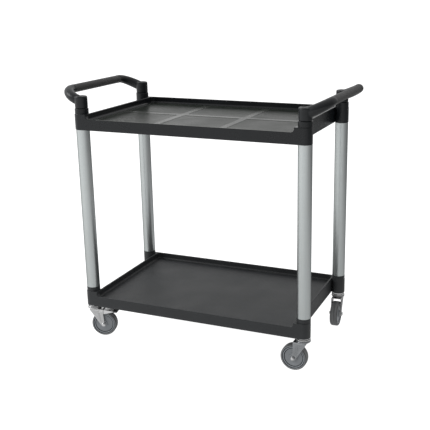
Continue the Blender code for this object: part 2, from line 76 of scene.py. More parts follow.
# Shelves, with heights counted from the bottom edge of the skirt
SHELF_HALF_X = 0.414
SHELF_HALF_Y = 0.256
RIM_Z = 0.059
RIM_ROUND = 0.0022
LIP_Z = 0.042
LIP_INNER_Y = 0.2505
LIP_ROUND = 0.0020
FLOOR_Z = 0.0345
FLOOR_UNDER_Z = 0.0305
UPPER_COLLAR_Z = 0.079
LOWER_COLLAR_Z = 0.0745
LOWER_BASE_Z = LOWER_COLLAR_TOP - LOWER_COLLAR_Z
EAR_R = 0.0256
COLLAR_R = EAR_R - 0.0001
COLLAR_ROUND = 0.0022
SPIGOT_R = 0.0230
SPIGOT_LENGTH = 0.035
SPIGOT_CHAMFER = 0.002
SOCKET_R = 0.0200
PLUG_R = 0.0115
PLUG_TOP = 0.045
BASIN_HALF_X = 0.4065
BASIN_BACK_Y = 0.2485
BASIN_FILLET = 0.008
BASIN_CORNER_R = 0.018
LIP_END_R = 0.012
HOLLOW_HALF_X = 0.4095
HOLLOW_HALF_Y = 0.2515
# Heights and setbacks that soften the lower edge of the skirt on both sides
SKIRT_SOFT = 0.0012
SKIRT_EDGE = ((0.0, SKIRT_SOFT), (0.0004, 0.0004), (SKIRT_SOFT, 0.0))
RIB_DEPTH = 0.008
RIB_POCKET_START_Z = 0.010
RIB_HALF_WIDTH = 0.0015
RIB_CORNER_R = 0.003
PANEL_PITCH_X = 0.261
PANEL_BAND = 0.028
PANEL_DEPTH = 0.0008
PANEL_CORNER_R = 0.008
PANEL_CENTRE = (-0.002, -0.001)

# Handles
POST_R = 0.0238
POST_TOP_Z = 0.9605
PEG_LENGTH = 0.050
BAR_CORE_R = 0.0130
BAR_BEND_R = 0.058
ARM_Z = 0.941
ARM_HALF_HEIGHT = 0.0195
ARM_SWELL = 0.0035
POST_FOOT_ROUND = 0.0028
POST_TOP_ROUND = 0.005
POST_DISH_DEPTH = 0.0024
MELT_VOXEL = 0.0013
MELT_ROUNDS = 5

# Casters, with heights counted from the floor
WHEEL_R = 0.050
RIM_SEAT_R = 0.0415
GROOVE_R = 0.0354
BEAD_INNER_R = 0.0366
BEAD_OUTER_R = 0.0402
SIDE_WALL_R = 0.0423
SHOULDER_R = 0.0476
AXLE_R = 0.0040
BUSH_R = 0.0080
FORK_GAP_HALF = 0.0187
FORK_THICKNESS = 0.0022
CROWN_UNDER_Z = 0.1120
CROWN_TOP_Z = 0.1213
CROWN_R = 0.0270
RACE_R = 0.0262
RACE_NECK_R = 0.0225
STEM_R = 0.0060
BOSS_R = 0.0082
CREASE_RELIEF = 0.0026
CREASE_HALF_WIDTH = 0.0024
CREASE_TOP_Z = 0.1085
CREASE_LOW_Z = 0.0600
PEDAL_BARREL_R = 0.0040
PEDAL_PIN_R = 0.0022
PEDAL_HALF_WIDTH = 0.0179
TONGUE_HALF_WIDTH = PEDAL_HALF_WIDTH - 0.003
TONGUE_END_X = 0.064
PAD_START_X = 0.0545
PAD_TOP_Z = 0.0058
PAD_RIB_PITCH = 0.0030
PAD_RIB_DEPTH = 0.0007

# Camera and studio
CAMERA_PLACE = (1.22743, -2.66940, 1.35381)
CAMERA_AZIMUTH = 22.018
CAMERA_PITCH = 15.434
CAMERA_ROLL = -0.582
CAMERA_LENS = 65.125
CAMERA_SHIFT = (-0.08375, -0.03743)
FLOOR_SIZE = 200.0
# Direction in which the floor grows brighter, and its light at the dark and the bright end
FLOOR_SLOPE = (-0.15, -0.22, 0.0)
FLOOR_RANGE = (0.0, 1.12)
# The same for the room
ROOM_SLOPE = (-0.70, 0.45, 0.55)
ROOM_RANGE = (0.12, 1.15)
FLOOR_COLOUR = (0.30, 0.30, 0.30, 1.0)
WHITE = (1.0, 1.0, 1.0, 1.0)
KEY_LIGHT_PLACE = (-3.2, -1.6, 2.6)
KEY_LIGHT_TARGET = (0.0, 0.0, 0.6)
KEY_LIGHT_SIZE = 1.6
KEY_LIGHT_POWER = 60.0

# Angles, in degrees, beyond which an edge is shaded sharp
SHARP_ANGLE = 32
HANDLE_SHARP_ANGLE = 50

# Middle part of a noise that a material spreads over its whole range
NOISE_LOW = 0.3
NOISE_HIGH = 0.7

# Radians that the ring pattern of a wheel turns through per metre of radius
RING_RATE = 2600.0


# Mesh building


def finish_mesh(bm, name):
    bmesh.ops.recalc_face_normals(bm, faces=bm.faces)
    mesh = bpy.data.meshes.new(name)
    bm.to_mesh(mesh)
    bm.free()
    return mesh


def add_object(name, mesh, location=(0, 0, 0), yaw=0.0):
    obj = bpy.data.objects.new(name, mesh)
    bpy.context.scene.collection.objects.link(obj)
    obj.location = location
    obj.rotation_euler = (0, 0, yaw)
    return obj


def bridge(bm, ring_a, ring_b):
    """Faces between two rings of the same length; a pole is a ring that repeats one vertex."""
    count = len(ring_a)
    for i in range(count):
        j = (i + 1) % count
        corners = list(dict.fromkeys((ring_a[i], ring_a[j], ring_b[j], ring_b[i])))
        if len(corners) > 2:
            bm.faces.new(corners)


def lathe(name, profile, segments, closed=False, axis="Z"):
    """Solid of revolution of (radius, height) points; closed joins the last point to the first."""
    bm = bmesh.new()
    rings = []
    for radius, height in profile:
        if radius == 0:
            rings.append([bm.verts.new((0, 0, height))] * segments)
            continue
        turns = [2 * math.pi * i / segments for i in range(segments)]
        rings.append([bm.verts.new((radius * math.cos(t), radius * math.sin(t), height)) for t in turns])
    for ring_a, ring_b in zip(rings, rings[1:]):
        bridge(bm, ring_a, ring_b)
    if closed:
        bridge(bm, rings[-1], rings[0])
    if axis == "Y":
        bmesh.ops.rotate(bm, verts=bm.verts, matrix=Matrix.Rotation(math.radians(90), 3, "X"))
    return finish_mesh(bm, name)


def loft(bm, rings):
    """Closed body through rings of points, with flat ends."""
    made = [[bm.verts.new(point) for point in ring] for ring in rings]
    for ring_a, ring_b in zip(made, made[1:]):
        bridge(bm, ring_a, ring_b)
    bm.faces.new(made[0])
    bm.faces.new(made[-1])


def prism(name, outline, low, high):
    """Outline of (x, z) points pushed from low to high along Y."""
    bm = bmesh.new()
    loft(bm, [[(x, level, z) for x, z in outline] for level in (low, high)])
    return finish_mesh(bm, name)


def arc(centre, radius, start, end, steps):
    """Points of an arc from start to end, in degrees."""
    points = []
    for i in range(steps + 1):
        t = math.radians(start + (end - start) * i / steps)
        points.append((centre[0] + radius * math.cos(t), centre[1] + radius * math.sin(t)))
    return points


def rounded_box(low, high, radius, steps):
    """Outline of an upright rectangle with rounded corners."""
    points = []
    points += arc((high[0] - radius, low[1] + radius), radius, -90, 0, steps)
    points += arc((high[0] - radius, high[1] - radius), radius, 0, 90, steps)
    points += arc((low[0] + radius, high[1] - radius), radius, 90, 180, steps)
    points += arc((low[0] + radius, low[1] + radius), radius, 180, 270, steps)
    return points


def mirrored(half):
    """Full section from its upper half, as (radius, height) points in one closed loop."""
    return half + [(radius, -height) for radius, height in half[::-1]]


def moved(mesh, offset):
    mesh.transform(Matrix.Translation(offset))
    return mesh


def keep_result(obj):
    """Applies the object's modifiers to its mesh."""
    bpy.context.view_layer.update()
    graph = bpy.context.evaluated_depsgraph_get()
    mesh = bpy.data.meshes.new_from_object(obj.evaluated_get(graph))
    obj.modifiers.clear()
    obj.data = mesh


def cut(mesh, operation, *tools):
    """Mesh after one exact Boolean per tool."""
    target = add_object("target", mesh)
    helpers = []
    for tool in tools:
        helper = add_object("tool", tool)
        helpers.append(helper)
        modifier = target.modifiers.new("boolean", "BOOLEAN")
        modifier.operation = operation
        modifier.solver = "EXACT"
        modifier.object = helper
    keep_result(target)
    return take_mesh(target, helpers)


def take_mesh(obj, helpers=()):
    """Mesh of a helper object, which is removed with its own helpers."""
    mesh = obj.data
    for used in (obj, *helpers):
        bpy.data.objects.remove(used, do_unlink=True)
    return mesh


def bevelled(mesh, width, segments, angle):
    """Mesh with its edges sharper than the angle, in degrees, rounded off."""
    obj = add_object("bevel", mesh)
    modifier = obj.modifiers.new("bevel", "BEVEL")
    modifier.width = width
    modifier.segments = segments
    modifier.limit_method = "ANGLE"
    modifier.angle_limit = math.radians(angle)
    modifier.use_clamp_overlap = False
    keep_result(obj)
    return take_mesh(obj)


def melted(mesh, voxel, rounds):
    """Mesh rebuilt on an even grid and relaxed, so that joined bodies flow into each other."""
    obj = add_object("melt", mesh)
    remesh = obj.modifiers.new("remesh", "REMESH")
    remesh.mode = "VOXEL"
    remesh.voxel_size = voxel
    relax = obj.modifiers.new("relax", "SMOOTH")
    relax.factor = 0.5
    relax.iterations = rounds
    keep_result(obj)
    return take_mesh(obj)


def piece(node, mesh, material, body, location=(0, 0, 0), yaw=0.0, sharp=SHARP_ANGLE):
    """Detailed piece that stands for one CAD node and rides on its body."""
    if not mesh.materials:
        mesh.materials.append(material)
    mesh.shade_smooth()
    mesh.set_sharp_from_angle(angle=math.radians(sharp))
    obj = add_object(f"{node}_detail", mesh, location, yaw)
    weighted = obj.modifiers.new("weighted_normals", "WEIGHTED_NORMAL")
    weighted.keep_sharp = True
    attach(obj, body)
    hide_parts(node)


# Materials


class Graph:
    """Short way to build the node tree of one material."""

    def __init__(self, name, roughness, metallic=0.0, specular=0.5, rim=1.0):
        self.material = bpy.data.materials.new(name)
        self.material.use_nodes = True
        self.tree = self.material.node_tree
        self.shader = self.tree.nodes["Principled BSDF"]
        self.shader.inputs["Roughness"].default_value = roughness
        self.shader.inputs["Metallic"].default_value = metallic
        self.shader.inputs["Specular IOR Level"].default_value = specular
        self.shader.inputs["Specular Tint"].default_value = (rim, rim, rim, 1.0)
        self.place = self.tree.nodes.new("ShaderNodeTexCoord").outputs["Object"]

    def put(self, socket, value):
        if isinstance(value, bpy.types.NodeSocket):
            self.tree.links.new(value, socket)
        else:
            socket.default_value = value

    def stretched(self, scale):
        node = self.tree.nodes.new("ShaderNodeMapping")
        node.inputs["Scale"].default_value = scale
        self.put(node.inputs["Vector"], self.place)
        return node.outputs["Vector"]

    def noise(self, scale, detail=3.0, rough=0.5, vector=None):
        node = self.tree.nodes.new("ShaderNodeTexNoise")
        node.inputs["Scale"].default_value = scale
        node.inputs["Detail"].default_value = detail
        node.inputs["Roughness"].default_value = rough
        self.put(node.inputs["Vector"], vector or self.place)
        return node.outputs["Fac"]

    def cells(self, scale, feature="F1"):
        node = self.tree.nodes.new("ShaderNodeTexVoronoi")
        node.feature = feature
        node.inputs["Scale"].default_value = scale
        self.put(node.inputs["Vector"], self.place)
        return node.outputs["Distance"]

    def radius(self):
        """Distance from the object's Y axis, which is the axis of a wheel."""
        node = self.tree.nodes.new("ShaderNodeVectorMath")
        node.operation = "LENGTH"
        self.put(node.inputs[0], self.stretched((1.0, 0.0, 1.0)))
        return node.outputs["Value"]

    def edges(self):
        """Rises on convex edges and falls in hollows."""
        return self.tree.nodes.new("ShaderNodeNewGeometry").outputs["Pointiness"]

    def span(self, value, low, high, to_low, to_high):
        """Value mapped from low..high to to_low..to_high, clamped."""
        node = self.tree.nodes.new("ShaderNodeMapRange")
        self.put(node.inputs["Value"], value)
        node.inputs["From Min"].default_value = low
        node.inputs["From Max"].default_value = high
        node.inputs["To Min"].default_value = to_low
        node.inputs["To Max"].default_value = to_high
        return node.outputs["Result"]

    def vary(self, noise, low, high):
        """Value that drifts from low to high with a noise."""
        return self.span(noise, NOISE_LOW, NOISE_HIGH, low, high)

    def math(self, operation, a, b=0.0):
        node = self.tree.nodes.new("ShaderNodeMath")
        node.operation = operation
        self.put(node.inputs[0], a)
        self.put(node.inputs[1], b)
        return node.outputs["Value"]

    def mix(self, share, a, b):
        node = self.tree.nodes.new("ShaderNodeMix")
        node.data_type = "RGBA"
        self.put(node.inputs["Factor"], share)
        self.put(node.inputs["A"], a)
        self.put(node.inputs["B"], b)
        return node.outputs["Result"]

    def drift(self, noise, a, b):
        """Colour that drifts from a to b with a noise."""
        return self.mix(self.vary(noise, 0.0, 1.0), a, b)

    def bump(self, height, distance):
        node = self.tree.nodes.new("ShaderNodeBump")
        node.inputs["Strength"].default_value = 1.0
        node.inputs["Distance"].default_value = distance
        self.put(node.inputs["Height"], height)
        self.put(self.shader.inputs["Normal"], node.outputs["Normal"])

    def set(self, **values):
        names = {"colour": "Base Color", "roughness": "Roughness"}
        for key, value in values.items():
            self.put(self.shader.inputs[names[key]], value)


def grey(level, warm=0.0, green=0.0):
    """Opaque grey; warm shifts it towards red, or towards blue when negative, and green towards green."""
    return (level * (1 + warm), level * (1 + green), level * (1 - warm), 1.0)


def moulded(name, level, roughness, grain, specular=0.5, warm=-0.04, edge_highlight=0.05, green=0.0):
    """Black moulded plastic: fine stipple, faint flow clouds, edges lightened as a painted highlight."""
    g = Graph(name, roughness, specular=specular)
    clouds = g.noise(9.0, 4.0)
    flecks = g.noise(420.0, 2.0)
    base = g.drift(clouds, grey(level * 0.88, warm, green), grey(level * 1.12, warm, green))
    base = g.mix(g.span(flecks, 0.55, 0.75, 0.0, 0.15), base, grey(level * 1.5, warm, green))
    # Convex edges lightened towards a paler grey: a painted highlight.
    g.set(colour=g.mix(g.span(g.edges(), 0.53, 0.60, 0.0, edge_highlight * 6), base, grey(level * 4.0, warm)))
    blend = g.math("ADD", g.vary(clouds, -0.05, 0.05), g.vary(flecks, -0.03, 0.03))
    g.set(roughness=g.math("ADD", blend, roughness))
    stipple = g.math("ADD", g.span(g.cells(900.0), 0.0, 0.6, 0.0, 0.6), g.noise(1500.0, 2.0))
    g.bump(stipple, grain)
    return g.material


def plated(name, level, roughness, warm=0.0):
    """Zinc-plated steel: cloudy passivated layer, fine scratches, edges lightened as a painted highlight and
    hollows darkened as painted shade.
    """
    g = Graph(name, roughness, metallic=1.0, rim=0.75)
    clouds = g.noise(60.0, 5.0, 0.6)
    scratches = g.noise(1.0, 3.0, 0.6, g.stretched((400.0, 500.0, 60.0)))
    base = g.drift(clouds, grey(level * 0.86, warm), grey(level * 1.08, warm - 0.01))
    # Convex edges lightened: a painted highlight.
    worn = g.mix(g.span(g.edges(), 0.52, 0.60, 0.0, 0.7), base, grey(min(level * 1.8, 0.95), warm))
    # Hollows darkened: painted shade.
    g.set(colour=g.mix(g.span(g.edges(), 0.40, 0.48, 0.6, 0.0), worn, grey(level * 0.45, warm)))
    tone = g.math("ADD", g.vary(clouds, -0.06, 0.08), g.span(scratches, 0.4, 0.7, -0.04, 0.06))
    g.set(roughness=g.math("ADD", tone, roughness))
    g.bump(g.math("ADD", scratches, g.noise(700.0, 2.0)), 0.00004)
    return g.material


def anodised(name, level, roughness):
    """Satin anodised tube: long extrusion lines, faint stains and a fine matt tooth."""
    g = Graph(name, roughness, metallic=1.0, rim=0.25)
    lines = g.noise(1.0, 4.0, 0.6, g.stretched((700.0, 700.0, 3.0)))
    stains = g.noise(14.0, 4.0)
    base = g.drift(lines, grey(level * 0.93, -0.04, 0.03), grey(level * 1.05, -0.02, 0.03))
    g.set(colour=g.mix(g.span(stains, 0.45, 0.75, 0.0, 0.25), base, grey(level * 0.86, 0.01, 0.03)))
    g.set(roughness=g.math("ADD", g.vary(lines, -0.05, 0.05), roughness))
    g.bump(g.math("ADD", lines, g.noise(1800.0, 2.0)), 0.00003)
    return g.material


def rubber(name, level, roughness, pitch, depth, warm=-0.02):
    """Matt rubber with a pebbled tooth, darker in the hollows between pebbles, and darker clouds."""
    g = Graph(name, roughness, specular=0.35)
    pebbles = g.cells(1.0 / pitch, "SMOOTH_F1")
    clouds = g.noise(30.0, 4.0)
    base = g.drift(clouds, grey(level * 0.85, warm), grey(level * 1.12, warm))
    g.set(colour=g.mix(g.span(pebbles, 0.35, 0.7, 0.0, 0.35), base, grey(level * 0.55, warm)))
    g.set(roughness=g.math("ADD", g.vary(clouds, -0.05, 0.06), roughness))
    g.bump(g.span(pebbles, 0.0, 0.7, 1.0, 0.0), depth)
    return g.material


def wheel_plastic(name, level, roughness):
    """Grey wheel centre: mould texture, faint turning rings, painted shade in the groove and at the seat, a
    painted highlight on the rim bead.
    """
    g = Graph(name, roughness, specular=0.4)
    clouds = g.noise(26.0, 4.0)
    radius = g.radius()
    rings = g.math("SINE", g.math("MULTIPLY", radius, RING_RATE))
    base = g.drift(clouds, grey(level * 0.90, -0.06), grey(level * 1.10, -0.06))
    base = g.mix(g.span(rings, 0.2, 1.0, 0.0, 0.12), base, grey(level * 0.7, -0.04))
    # Painted shade: near black in the groove.
    off_groove = g.math("ABSOLUTE", g.math("SUBTRACT", radius, GROOVE_R))
    base = g.mix(g.span(off_groove, 0.0009, 0.0014, 0.97, 0.0), base, grey(level * 0.05))
    # Painted highlight: a lighter ring on the rim bead.
    on_bead = g.span(radius, BEAD_INNER_R, BEAD_INNER_R + 0.0006, 0.0, 0.8)
    base = g.mix(on_bead, base, grey(level * 1.45, -0.08))
    # Painted shade: near black beyond the bead, where the wheel meets the tyre.
    beyond_bead = g.span(radius, BEAD_OUTER_R, BEAD_OUTER_R + 0.0006, 0.0, 0.95)
    g.set(colour=g.mix(beyond_bead, base, grey(level * 0.08)))
    g.set(roughness=g.math("ADD", g.vary(clouds, -0.05, 0.08), roughness))
    g.bump(g.math("ADD", g.noise(900.0, 2.0), g.span(rings, -1.0, 1.0, 0.0, 0.5)), 0.00003)
    return g.material


def tyre_rubber(name, level, roughness):
    """Grey rubber side wall that turns to a darker, scuffed tread beyond the shoulder, its darker tone
    partly painted shade; painted shade at the shoulder step and at the seat.
    """
    g = Graph(name, roughness, specular=0.3)
    clouds = g.noise(40.0, 5.0, 0.6)
    scuffs = g.noise(1.0, 4.0, 0.6, g.stretched((12.0, 150.0, 12.0)))
    wall = g.drift(clouds, grey(level * 0.85, -0.04), grey(level * 1.12, -0.04))
    # The tread is painted darker than the side wall, partly as shade, with scuff streaks across it.
    tread = g.mix(g.span(scuffs, 0.35, 0.7, 0.0, 1.0), grey(level * 0.42, -0.02), grey(level * 1.05, -0.02))
    worn = g.math("ADD", g.radius(), g.vary(clouds, -0.0002, 0.0002))
    beyond = g.span(worn, SHOULDER_R - 0.0005, SHOULDER_R + 0.0003, 0.0, 1.0)
    base = g.mix(beyond, wall, tread)
    # Painted shade: a dark line at the shoulder step.
    off_shoulder = g.math("ABSOLUTE", g.math("SUBTRACT", worn, SHOULDER_R + 0.0002))
    base = g.mix(g.span(off_shoulder, 0.0004, 0.0012, 0.8, 0.0), base, grey(level * 0.10))
    # Painted shade: dark where the tyre meets the wheel.
    at_seat = g.span(worn, SIDE_WALL_R, SIDE_WALL_R + 0.0005, 0.9, 0.0)
    g.set(colour=g.mix(at_seat, base, grey(level * 0.08)))
    g.set(roughness=g.math("ADD", g.vary(scuffs, -0.06, 0.10), roughness))
    g.bump(g.math("ADD", g.noise(800.0, 2.0), scuffs), 0.00006)
    return g.material


def make_materials():
    return {
        "upper_shelf": moulded("upper_shelf_plastic", 0.010, 0.28, 0.00001, specular=0.24, warm=-0.14),
        "upper_panel": moulded("upper_shelf_panel", 0.0115, 0.31, 0.00004, 0.09, warm=0.0, green=0.35),
        "upper_band_and_lip_highlight": moulded("upper_shelf_band_and_lip_highlight", 0.032, 0.26, 0.00002, specular=0.17, warm=0.0, green=0.12),
        "lower_shelf": moulded("lower_shelf_plastic", 0.027, 0.52, 0.00006, specular=0.30, warm=-0.07),
        "tube": anodised("tube_aluminium", 0.46, 0.34),
        "handle": moulded("handle_plastic", 0.011, 0.33, 0.00002, specular=0.27, warm=-0.14, edge_highlight=0.06),
        "grip": rubber("grip_rubber", 0.050, 0.62, 0.0016, 0.00025, warm=0.0),
        "plug": moulded("plug_nylon", 0.030, 0.55, 0.00004),
        "stem": plated("stem_steel", 0.50, 0.34),
        "race": plated("race_zinc", 0.55, 0.20),
        # The four forks share one zinc; their levels differ as painted light and shade, brighter for the
        # casters that stand in more light.
        "fork_fl": plated("fork_zinc_painted_light_fl", 0.48, 0.26),
        "fork_fr": plated("fork_zinc_painted_light_fr", 0.29, 0.24, warm=-0.03),
        "fork_br": plated("fork_zinc_painted_light_br", 0.30, 0.26),
        "fork_bl": plated("fork_zinc_painted_light_bl", 0.40, 0.26),
        "axle": plated("axle_steel", 0.60, 0.28),
        "nut": plated("nut_steel", 0.36, 0.34),
        "bush": plated("bush_steel", 0.50, 0.40),
        "wheel": wheel_plastic("wheel_plastic", 0.24, 0.42),
        "tyre": tyre_rubber("tyre_rubber", 0.22, 0.58),
        "pedal_pin": plated("pedal_pin_steel", 0.50, 0.34),
        "pedal": plated("pedal_zinc", 0.60, 0.32),
        "pedal_pad": rubber("pedal_pad_rubber", 0.016, 0.55, 0.0012, 0.00008),
    }


# Shelves


def ear_outline(side_x, side_y, inset):
    """Rounded corner that wraps one tube, in counter-clockwise order; inset softens its edges."""
    reach = math.acos((SHELF_HALF_X - TUBE_X) / EAR_R)
    points = [(SHELF_HALF_X - inset, TUBE_Y - EAR_R * math.sin(reach))]
    for i in range(1, 17):
        share = i / 16
        turn = reach * (share - 1)
        radius = EAR_R - inset * min(1.0, 3 * share)
        points.append((TUBE_X + radius * math.cos(turn), TUBE_Y + radius * math.sin(turn)))
    points += arc((TUBE_X, SHELF_HALF_Y - EAR_R), EAR_R - inset, 0, 90, 12)
    points = [(side_x * x, side_y * y) for x, y in points]
    return points if side_x * side_y > 0 else points[::-1]


def shelf_block():
    """Solid slab inside the skirt, with softened top and bottom edges."""
    levels = list(SKIRT_EDGE)
    for i in range(5):
        t = math.radians(90 * i / 4)
        levels.append((RIM_Z - RIM_ROUND * (1 - math.sin(t)), RIM_ROUND * (1 - math.cos(t))))
    rings = []
    for z, inset in levels:
        outline = []
        for side_x, side_y in ((1, 1), (-1, 1), (-1, -1), (1, -1)):
            outline += ear_outline(side_x, side_y, inset)
        rings.append([(x, y, z) for x, y in outline])
    bm = bmesh.new()
    loft(bm, rings)
    return finish_mesh(bm, "block")


def basin():
    """Space above the floor, behind the lip: filleted to the walls, with a rounded rim."""
    levels = []
    for i in range(9):
        t = math.radians(90 * i / 8)
        levels.append((BASIN_FILLET * (1 - math.sin(t)), FLOOR_Z + BASIN_FILLET * (1 - math.cos(t))))
    for i in range(5):
        t = math.radians(80 * i / 4)
        levels.append((-RIM_ROUND * (1 - math.cos(t)), RIM_Z - RIM_ROUND * (1 - math.sin(t))))
    levels.append((-RIM_ROUND, RIM_Z + 0.001))
    levels.append((-RIM_ROUND, RIM_Z + OVERLAP))
    rings = []
    for inset, z in levels:
        x = BASIN_HALF_X - inset
        radius = BASIN_CORNER_R - inset
        front = -LIP_INNER_Y + max(inset, 0.0)
        outline = rounded_box((-x, front), (x, BASIN_BACK_Y - inset), radius, 12)
        rings.append([(px, py, z) for px, py in outline])
    bm = bmesh.new()
    loft(bm, rings)
    return finish_mesh(bm, "basin")


def notch():
    """Wide gap in the front rim that leaves the low lip, with rounded ends and a rounded lip edge."""
    front = -SHELF_HALF_Y
    back = BASIN_CORNER_R - LIP_INNER_Y
    stations = [(front - OVERLAP, LIP_ROUND), (front - 0.001, LIP_ROUND)]
    for i in range(7):
        t = math.radians(90 * i / 6)
        stations.append((front + LIP_ROUND * (1 - math.cos(t)), LIP_ROUND * (1 - math.sin(t))))
    stations.append((back, 0.0))
    rings = []
    for y, flare in stations:
        x = BASIN_HALF_X + flare
        low = LIP_Z - flare
        outline = [(x, RIM_Z + OVERLAP)]
        outline += arc((x - LIP_END_R, low + LIP_END_R), LIP_END_R, 0, -90, 12)
        outline += arc((LIP_END_R - x, low + LIP_END_R), LIP_END_R, -90, -180, 12)
        outline.append((-x, RIM_Z + OVERLAP))
        rings.append([(px, y, pz) for px, pz in outline])
    bm = bmesh.new()
    loft(bm, rings)
    return finish_mesh(bm, "notch")


def hollow():
    """Space under the ribs of the floor, with a softened lower edge of the skirt."""
    top = FLOOR_UNDER_Z - RIB_DEPTH
    rings = []
    for z, flare in ((-OVERLAP, SKIRT_SOFT), *SKIRT_EDGE, (top, 0.0)):
        x = HOLLOW_HALF_X + flare
        y = HOLLOW_HALF_Y + flare
        rings.append([(px, py, z) for px, py in rounded_box((-x, -y), (x, y), 0.006, 4)])
    bm = bmesh.new()
    loft(bm, rings)
    return finish_mesh(bm, "hollow")


def grid(name, centre, half, band, levels, radius, steps):
    """Six boxes in three columns and two rows, parted by bands; levels holds heights and growths."""
    columns = (-half[0], centre[0] - PANEL_PITCH_X / 2, centre[0] + PANEL_PITCH_X / 2, half[0])
    rows = (-half[1], centre[1], half[1])
    bm = bmesh.new()
    for x0, x1 in zip(columns, columns[1:]):
        for y0, y1 in zip(rows, rows[1:]):
            rings = []
            for z, grow in levels:
                edge = band / 2 - grow
                inside = rounded_box((x0 + edge, y0 + edge), (x1 - edge, y1 - edge), radius, steps)
                rings.append([(x, y, z) for x, y in inside])
            loft(bm, rings)
    return finish_mesh(bm, name)


def tube_columns(name, profile, segments):
    """Four upright turned bodies on the tube axes; profile holds (radius, height) points."""
    bm = bmesh.new()
    for side_x, side_y in CORNERS.values():
        rings = []
        for radius, z in profile:
            circle = arc((side_x * TUBE_X, side_y * TUBE_Y), radius, 0, 360, segments)[:-1]
            rings.append([(x, y, z) for x, y in circle])
        loft(bm, rings)
    return finish_mesh(bm, name)


def rib_pockets():
    """Six pockets under the floor that leave the ribs between them."""
    half = (HOLLOW_HALF_X, HOLLOW_HALF_Y)
    levels = ((RIB_POCKET_START_Z, 0.0), (FLOOR_UNDER_Z, -0.0004))
    return grid("under", (0, 0), half, 2 * RIB_HALF_WIDTH, levels, RIB_CORNER_R, 3)


def floor_panels():
    """Six shallow recesses in the upper floor, with sloped edges."""
    half = (BASIN_HALF_X - BASIN_FILLET, BASIN_BACK_Y - BASIN_FILLET)
    levels = ((FLOOR_Z - PANEL_DEPTH, -0.0005), (FLOOR_Z, 0.0003), (FLOOR_Z + 0.002, 0.0011))
    return grid("top", PANEL_CENTRE, half, PANEL_BAND, levels, PANEL_CORNER_R, 6)


def tray_mesh(collar_z, collar_round, *recesses):
    """What the two shelves share: skirt, rims, lip, ribbed floor with its recesses, four collars."""
    mesh = cut(shelf_block(), "DIFFERENCE", basin(), notch(), hollow(), rib_pockets(), *recesses)
    shoulder = (COLLAR_R - collar_round, collar_z - collar_round)
    collar = [(COLLAR_R, RIM_Z - OVERLAP)] + arc(shoulder, collar_round, 0, 90, 5)
    return cut(mesh, "UNION", tube_columns("collars", collar, 64))


def upper_shelf_mesh():
    """Upper shelf: panels in the floor, spigots below for the tubes, sockets above for the handles."""
    mesh = tray_mesh(UPPER_COLLAR_Z, COLLAR_ROUND, floor_panels())
    tip = -SPIGOT_LENGTH
    spigot = [(SPIGOT_R - SPIGOT_CHAMFER, tip), (SPIGOT_R, tip + SPIGOT_CHAMFER), (SPIGOT_R, OVERLAP)]
    mesh = cut(mesh, "UNION", tube_columns("spigots", spigot, 48))
    socket = [(SOCKET_R, 0.012), (SOCKET_R, 0.1)]
    return cut(mesh, "DIFFERENCE", tube_columns("sockets", socket, 48))


def lower_shelf_mesh():
    """Lower shelf: spigots above for the tubes, bores below for the caster plugs."""
    mesh = tray_mesh(LOWER_COLLAR_Z, COLLAR_ROUND / 3)
    tip = LOWER_COLLAR_Z + SPIGOT_LENGTH
    spigot = [(SPIGOT_R, 0.02), (SPIGOT_R, tip - SPIGOT_CHAMFER), (SPIGOT_R - SPIGOT_CHAMFER, tip)]
    mesh = cut(mesh, "UNION", tube_columns("spigots", spigot, 48))
    bore = [(PLUG_R + GAP, -OVERLAP), (PLUG_R + GAP, PLUG_TOP)]
    return cut(mesh, "DIFFERENCE", tube_columns("bores", bore, 32))


def mark_floor(mesh, panel, band):
    """Own materials for the recessed panels of the floor, and a lighter one for the bands and the lip round
    them; on the lip top the lighter tone is a painted highlight.
    """
    mesh.materials.append(panel)
    mesh.materials.append(band)
    facing_up = 0.7
    close = 0.0001
    for face in mesh.polygons:
        x, y, z = face.center
        if face.normal.z < facing_up or abs(x) > BASIN_HALF_X or y > BASIN_BACK_Y:
            continue
        if FLOOR_UNDER_Z < z < FLOOR_Z - close:
            face.material_index = 1
        # The lip top gets the lighter band material as a painted highlight.
        elif abs(z - FLOOR_Z) < close or (y < -LIP_INNER_Y and abs(z - LIP_Z) < 10 * close):
            face.material_index = 2


def add_shelves(looks):
    upper = upper_shelf_mesh()
    upper.materials.clear()
    upper.materials.append(looks["upper_shelf"])
    mark_floor(upper, looks["upper_panel"], looks["upper_band_and_lip_highlight"])
    piece("upper_shelf", upper, None, "frame", (0, 0, UPPER_BASE_Z))
    lower = lower_shelf_mesh()
    piece("lower_shelf", lower, looks["lower_shelf"], "frame", (0, 0, LOWER_BASE_Z))


def add_tubes(looks):
    low = TUBE_LOW.z
    high = TUBE_HIGH.z
    inner = TUBE_R - TUBE_WALL
    profile = [(inner, low + TUBE_INNER_EDGE), (inner + TUBE_INNER_EDGE, low)]
    profile += [(TUBE_R - TUBE_OUTER_EDGE, low), (TUBE_R, low + TUBE_OUTER_EDGE)]
    profile += [(TUBE_R, high - TUBE_OUTER_EDGE), (TUBE_R - TUBE_OUTER_EDGE, high)]
    profile += [(inner + TUBE_INNER_EDGE, high), (inner, high - TUBE_INNER_EDGE)]
    for corner, (side_x, side_y) in CORNERS.items():
        place = (side_x * TUBE_X, side_y * TUBE_Y, 0)
        mesh = lathe("tube", profile, 72, closed=True)
        piece(f"tube_{corner}", mesh, looks["tube"], "frame", place)


# Handles


def rise(share):
    """Share of the climb from post to bar, level at the bar."""
    return math.sin(math.pi / 2 * share**1.3)


